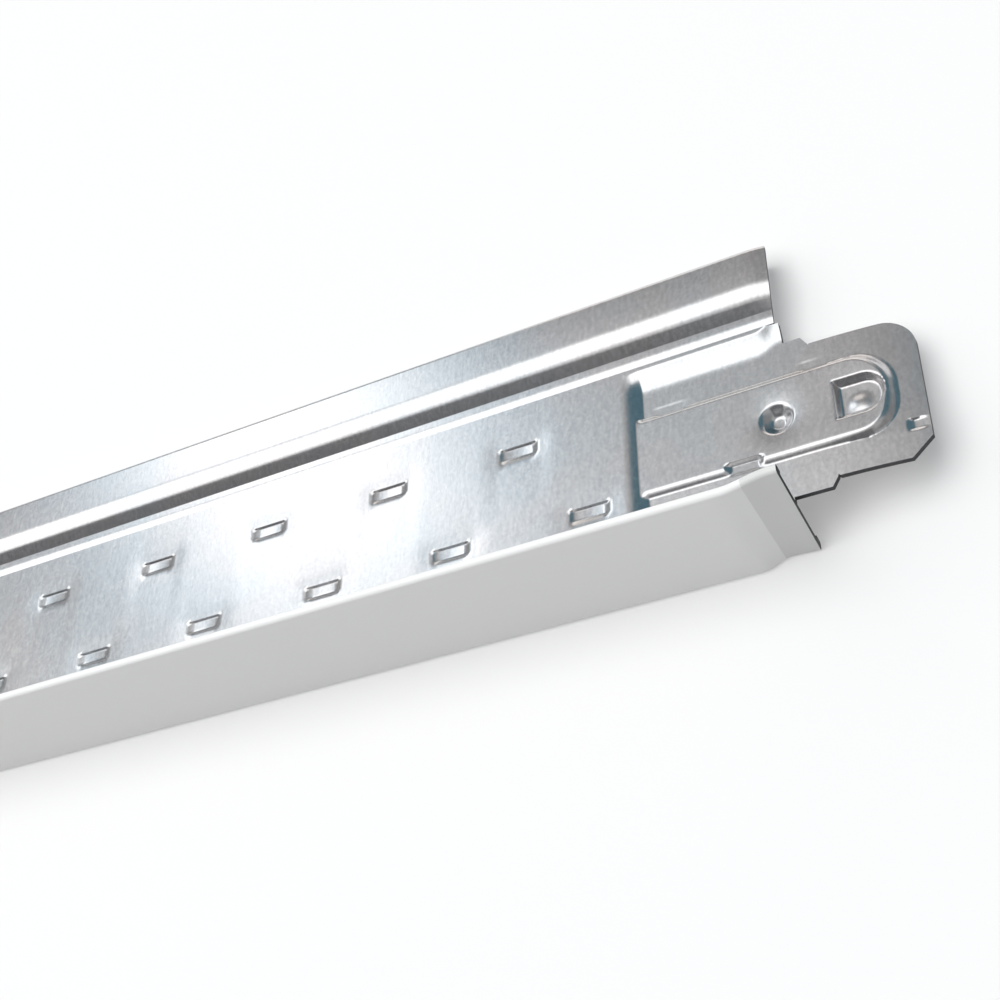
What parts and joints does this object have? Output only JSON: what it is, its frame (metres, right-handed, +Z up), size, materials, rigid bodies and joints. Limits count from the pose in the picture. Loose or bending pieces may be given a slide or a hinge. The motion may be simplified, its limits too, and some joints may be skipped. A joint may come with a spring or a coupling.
{
  "type": "ceiling grid cross tee",
  "caption": "Ceiling grid cross tee: galvanised strip folded into flange, stitched double web and hollow bulb, clip ends, and a white hemmed face strip.",
  "frame": {"origin": "middle of the bounding box's bottom: half way along the tee, on the floor that it lies on", "axes": "+X along the tee towards the clip end shown in the picture, +Y towards the bulb, +Z up with the tee lying on its far hem and bulb"},
  "size_m": [0.6184, 0.033, 0.015],
  "materials": {
    "galvanised_steel": "hot-dip galvanised sheet, satin, with faint mill streaks",
    "white_paint": "matt white coil coating"
  },
  "bodies": {
    "root": {"tee_body": "galvanised_steel", "face_cap": "white_paint"}
  },
  "joints": []
}
